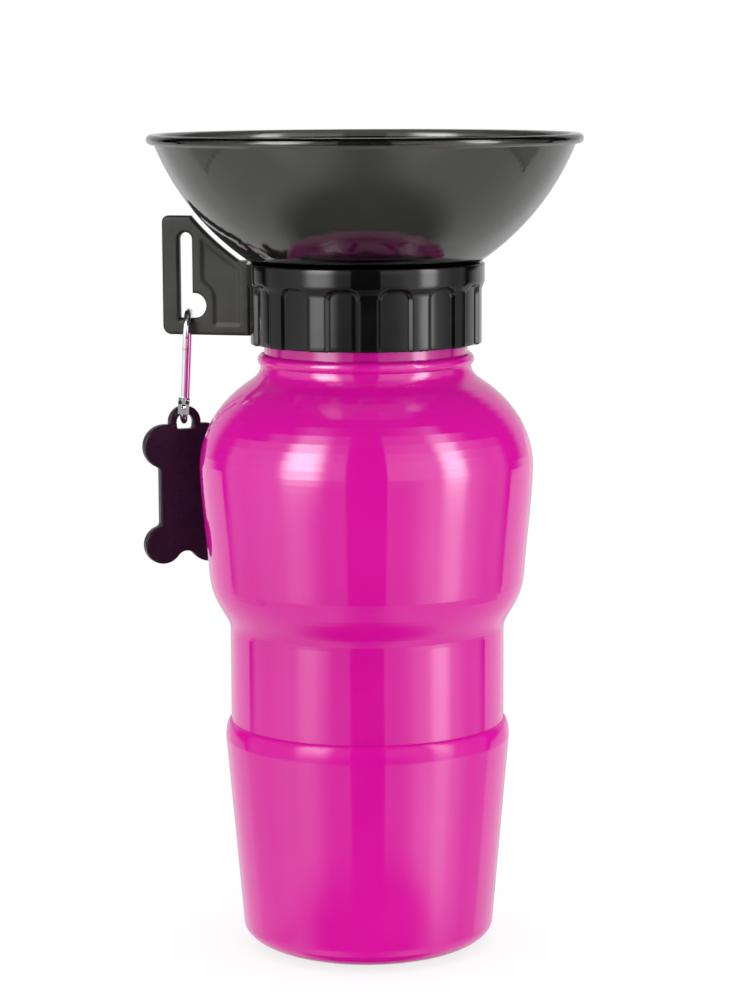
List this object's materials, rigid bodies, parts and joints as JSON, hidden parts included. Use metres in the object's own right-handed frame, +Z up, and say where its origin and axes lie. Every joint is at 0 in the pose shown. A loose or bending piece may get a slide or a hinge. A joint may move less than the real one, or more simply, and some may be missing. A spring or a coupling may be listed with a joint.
{
  "type": "dog travel water bottle",
  "caption": "Squeeze bottle with a screw cap that carries an open drinking bowl, a hanger plate and a snap hook with a bone-shaped tag.",
  "frame": {"origin": "centre of the flat face that the bottle stands on", "axes": "+Z up along the bottle's axis, -X towards the hanger plate and its hook"},
  "size_m": [0.1226, 0.1158, 0.22],
  "materials": {
    "bottle_plastic": "glossy, translucent",
    "seal_rubber": "satin",
    "black_plastic": "glossy",
    "smoke_plastic": "glossy, smoky",
    "smoke_bowl": "glossy, smoky translucent",
    "dome_plastic": "glossy",
    "natural_plastic": "satin, translucent",
    "hook_metal": "polished",
    "spring_steel": "drawn",
    "tag_plastic": "glossy"
  },
  "bodies": {
    "bottle": {"bottle": "bottle_plastic"},
    "gasket": {"neck_gasket": "seal_rubber"},
    "cap": {"collar": "black_plastic", "lock_ring": "black_plastic", "hanger": "smoke_plastic", "bowl": "smoke_bowl", "outlet_dome": "dome_plastic", "outlet_seal": "seal_rubber", "tube_socket": "natural_plastic", "slit_valve": "seal_rubber", "valve_clip": "natural_plastic", "dip_tube": "natural_plastic", "tube_foot": "natural_plastic"},
    "clip": {"clip_body": "hook_metal", "gate_pin": "spring_steel"},
    "gate": {"clip_gate": "hook_metal", "gate_spring": "spring_steel"},
    "tag": {"bone_tag": "tag_plastic"}
  },
  "joints": [
    {"name": "cap_lift", "type": "slide", "parent": "bottle", "child": "gasket", "axis": [0, 0, 1], "range_m": [0, 0.0042]},
    {"name": "cap_turn", "type": "hinge", "parent": "gasket", "child": "cap", "pos_m": [0, 0, 0.18], "axis": [0, 0, 1], "range_deg": [0, 360]},
    {"name": "clip_swing", "type": "hinge", "parent": "cap", "child": "clip", "pos_m": [-0.05, 0, 0.16895], "axis": [0.9636, 0.2582, -0.0698], "range_deg": [0, 26]},
    {"name": "gate_open", "type": "hinge", "parent": "clip", "child": "gate", "pos_m": [-0.05238, 0.00285, 0.14664], "axis": [-0.9636, -0.2582, 0.0698], "range_deg": [0, 25], "stiffness_Nm_per_rad": 0.002, "springref_deg": -5.73},
    {"name": "tag_swing", "type": "hinge", "parent": "clip", "child": "tag", "pos_m": [-0.05424, 0.00833, 0.14114], "axis": [-0.2588, 0.9659, 0], "range_deg": [0, 60]}
  ],
  "couplings": [
    {"joint": "cap_lift", "follows": "cap_turn", "m_per_rad": 0.00066845}
  ]
}
